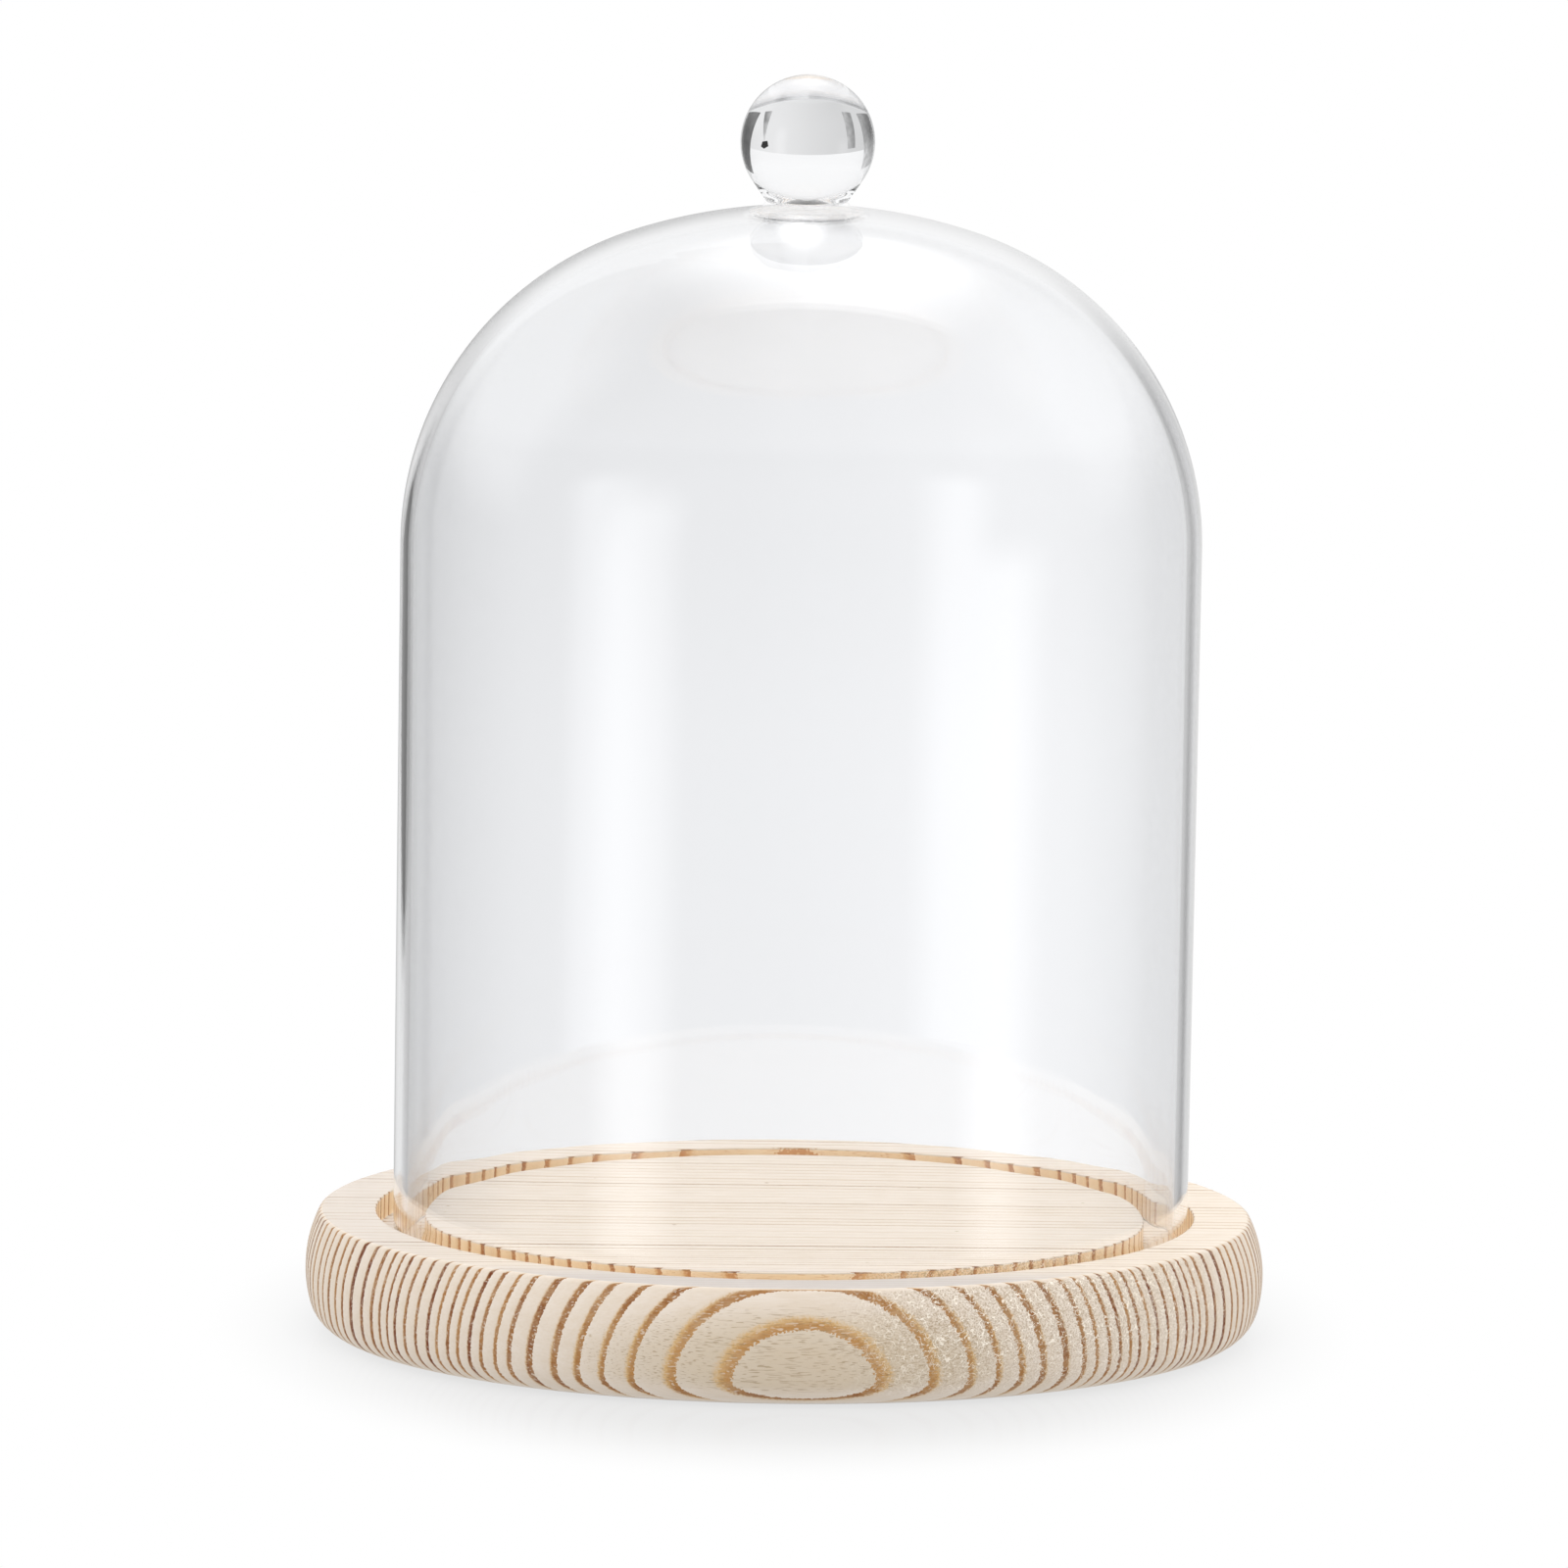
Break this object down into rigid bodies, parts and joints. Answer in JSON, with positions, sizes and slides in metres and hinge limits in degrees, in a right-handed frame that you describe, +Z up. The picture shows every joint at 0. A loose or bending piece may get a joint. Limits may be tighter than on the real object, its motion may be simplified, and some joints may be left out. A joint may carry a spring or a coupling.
{
  "type": "bell jar dome",
  "caption": "Clear glass display dome with a ball knob, whose rim stands in the groove of a round wooden base and lifts straight off.",
  "frame": {"origin": "centre of the base's underside", "axes": "+Z up along the axis of the base, dome and knob; X along the wood grain; -Y towards the viewer"},
  "size_m": [0.1604, 0.1604, 0.2123],
  "materials": {
    "wood": "bare sanded pine, matte, with orange-brown growth rings",
    "glass": "clear, fire-polished, smooth"
  },
  "bodies": {
    "base": {"wood_base": "wood"},
    "dome": {"glass_dome": "glass", "knob_foot": "glass", "knob_ball": "glass"}
  },
  "joints": [
    {"name": "dome_lift", "type": "slide", "parent": "base", "child": "dome", "axis": [0, 0, 1], "range_m": [0, 0.2]}
  ]
}
